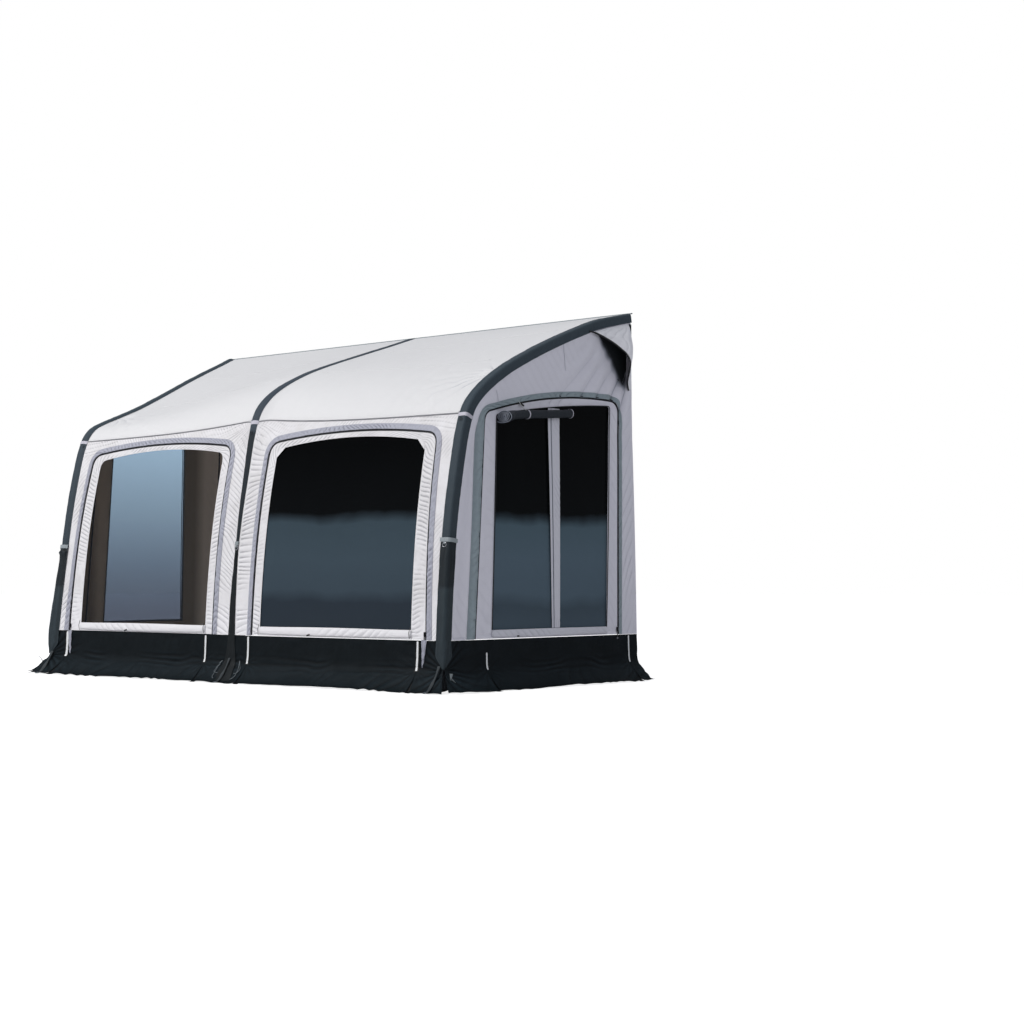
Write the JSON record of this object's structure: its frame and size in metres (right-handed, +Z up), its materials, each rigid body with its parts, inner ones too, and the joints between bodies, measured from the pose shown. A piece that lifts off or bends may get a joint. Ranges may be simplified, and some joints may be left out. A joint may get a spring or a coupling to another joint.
{
  "type": "caravan awning",
  "caption": "Inflatable caravan awning: arched air beams, pale roof and walls, arched zipped window panels, vent hoods, dark skirt and ground flaps.",
  "frame": {"origin": "bottom centre of the bounding box, on the ground", "axes": "+X along the front wall towards the right-hand side wall seen from the front, +Y from the front wall to the open rear edge that joins the caravan, +Z up"},
  "size_m": [4.2554, 2.0021, 2.5107],
  "materials": {
    "roof_fabric": "matt coated fabric, near white",
    "wall_fabric": "matt coated fabric, pale grey with a cool tint, lightly creased",
    "band_fabric": "matt slate fabric",
    "leg_cover_fabric": "matt dark fabric, gathered",
    "skirt_fabric": "dark coated fabric with a slight sheen",
    "window_film": "clear smoked film, glossy",
    "zip_cover_fabric": "grey lilac fabric strip",
    "zip_tape": "black woven tape with coil zip",
    "zip_slider_metal": "black enamelled zip slider",
    "ring_steel": "plain steel ring",
    "air_beam_sleeve": "dark woven sleeve round the inflated tube",
    "vent_mesh": "fine black mesh",
    "webbing": "grey woven webbing",
    "blind_fabric": "rolled dark blind fabric"
  },
  "bodies": {
    "root": {"air_beam_left": "air_beam_sleeve", "air_beam_centre": "air_beam_sleeve", "air_beam_right": "air_beam_sleeve", "beam_band_left": "band_fabric", "beam_band_centre": "band_fabric", "beam_band_right": "band_fabric", "leg_cover_left": "leg_cover_fabric", "leg_cover_centre": "leg_cover_fabric", "leg_cover_right": "leg_cover_fabric", "roof_panel_left": "roof_fabric", "roof_panel_right": "roof_fabric", "keder_strip": "webbing", "peg_strap_left": "webbing", "peg_strap_centre": "webbing", "peg_strap_right": "webbing", "skirt_front": "skirt_fabric", "skirt_side_left": "skirt_fabric", "skirt_side_right": "skirt_fabric", "ground_flap_front": "skirt_fabric", "ground_flap_left": "skirt_fabric", "ground_flap_right": "skirt_fabric", "front_surround_left": "wall_fabric", "side_surround_left": "wall_fabric", "vent_hood_left": "wall_fabric", "zip_cover_front_left": "zip_cover_fabric", "zip_cover_side_left": "zip_cover_fabric", "zip_chain_front_left": "zip_tape", "zip_chain_side_left": "zip_tape", "vent_mesh_left": "vent_mesh", "front_surround_right": "wall_fabric", "side_surround_right": "wall_fabric", "vent_hood_right": "wall_fabric", "zip_cover_front_right": "zip_cover_fabric", "zip_cover_side_right": "zip_cover_fabric", "zip_chain_front_right": "zip_tape", "zip_chain_side_right": "zip_tape", "vent_mesh_right": "vent_mesh"},
    "front_door_left": {"front_panel_left": "wall_fabric", "front_window_left": "window_film", "front_sill_left": "wall_fabric"},
    "side_door_left": {"side_panel_left": "wall_fabric", "side_window_left": "window_film", "side_sill_left": "wall_fabric", "blind_roll_left": "blind_fabric"},
    "front_slider_left": {"zip_slider_front_left": "zip_slider_metal"},
    "side_slider_left": {"zip_slider_side_left": "zip_slider_metal"},
    "front_door_right": {"front_panel_right": "wall_fabric", "front_window_right": "window_film", "front_sill_right": "wall_fabric"},
    "side_door_right": {"side_panel_right": "wall_fabric", "side_window_right": "window_film", "side_divider_right": "wall_fabric", "side_sill_right": "wall_fabric", "blind_roll_right": "blind_fabric"},
    "front_slider_right": {"zip_slider_front_right": "zip_slider_metal"},
    "side_slider_right": {"zip_slider_side_right": "zip_slider_metal"},
    "ring_left": {"leg_ring_left": "ring_steel"},
    "ring_centre": {"leg_ring_centre": "ring_steel"},
    "ring_right": {"leg_ring_right": "ring_steel"}
  },
  "joints": [
    {"name": "front_door_fold_left", "type": "hinge", "parent": "root", "child": "front_door_left", "pos_m": [-0.94, -0.85984, 0.31806], "axis": [1, 0, 0], "range_deg": [0, 90]},
    {"name": "side_door_swing_left", "type": "hinge", "parent": "root", "child": "side_door_left", "pos_m": [-1.8581, -0.59139, 0.318], "axis": [0.0057, 0.0767, 0.997], "range_deg": [0, 100]},
    {"name": "front_zip_slide_left", "type": "slide", "parent": "front_door_left", "child": "front_slider_left", "axis": [0.043, 0.065, 0.997], "range_m": [0, 0.35]},
    {"name": "side_zip_slide_left", "type": "slide", "parent": "side_door_left", "child": "side_slider_left", "axis": [0.0093, 0.0227, 0.9997], "range_m": [0, 1.2]},
    {"name": "front_door_fold_right", "type": "hinge", "parent": "root", "child": "front_door_right", "pos_m": [0.94, -0.85984, 0.31806], "axis": [1, 0, 0], "range_deg": [0, 90]},
    {"name": "side_door_swing_right", "type": "hinge", "parent": "root", "child": "side_door_right", "pos_m": [1.8581, -0.59139, 0.318], "axis": [0.0057, -0.0767, -0.997], "range_deg": [0, 100]},
    {"name": "front_zip_slide_right", "type": "slide", "parent": "front_door_right", "child": "front_slider_right", "axis": [-0.043, 0.065, 0.997], "range_m": [0, 0.35]},
    {"name": "side_zip_slide_right", "type": "slide", "parent": "side_door_right", "child": "side_slider_right", "axis": [-0.0093, 0.0227, 0.9997], "range_m": [0, 1.2]},
    {"name": "ring_swing_left", "type": "hinge", "parent": "root", "child": "ring_left", "pos_m": [-1.8084, -0.82144, 0.912], "axis": [-1, 0, 0], "range_deg": [0, 75]},
    {"name": "ring_swing_centre", "type": "hinge", "parent": "root", "child": "ring_centre", "pos_m": [0, -0.82144, 0.912], "axis": [-1, 0, 0], "range_deg": [0, 75]},
    {"name": "ring_swing_right", "type": "hinge", "parent": "root", "child": "ring_right", "pos_m": [1.8084, -0.82144, 0.912], "axis": [-1, 0, 0], "range_deg": [0, 75]}
  ]
}
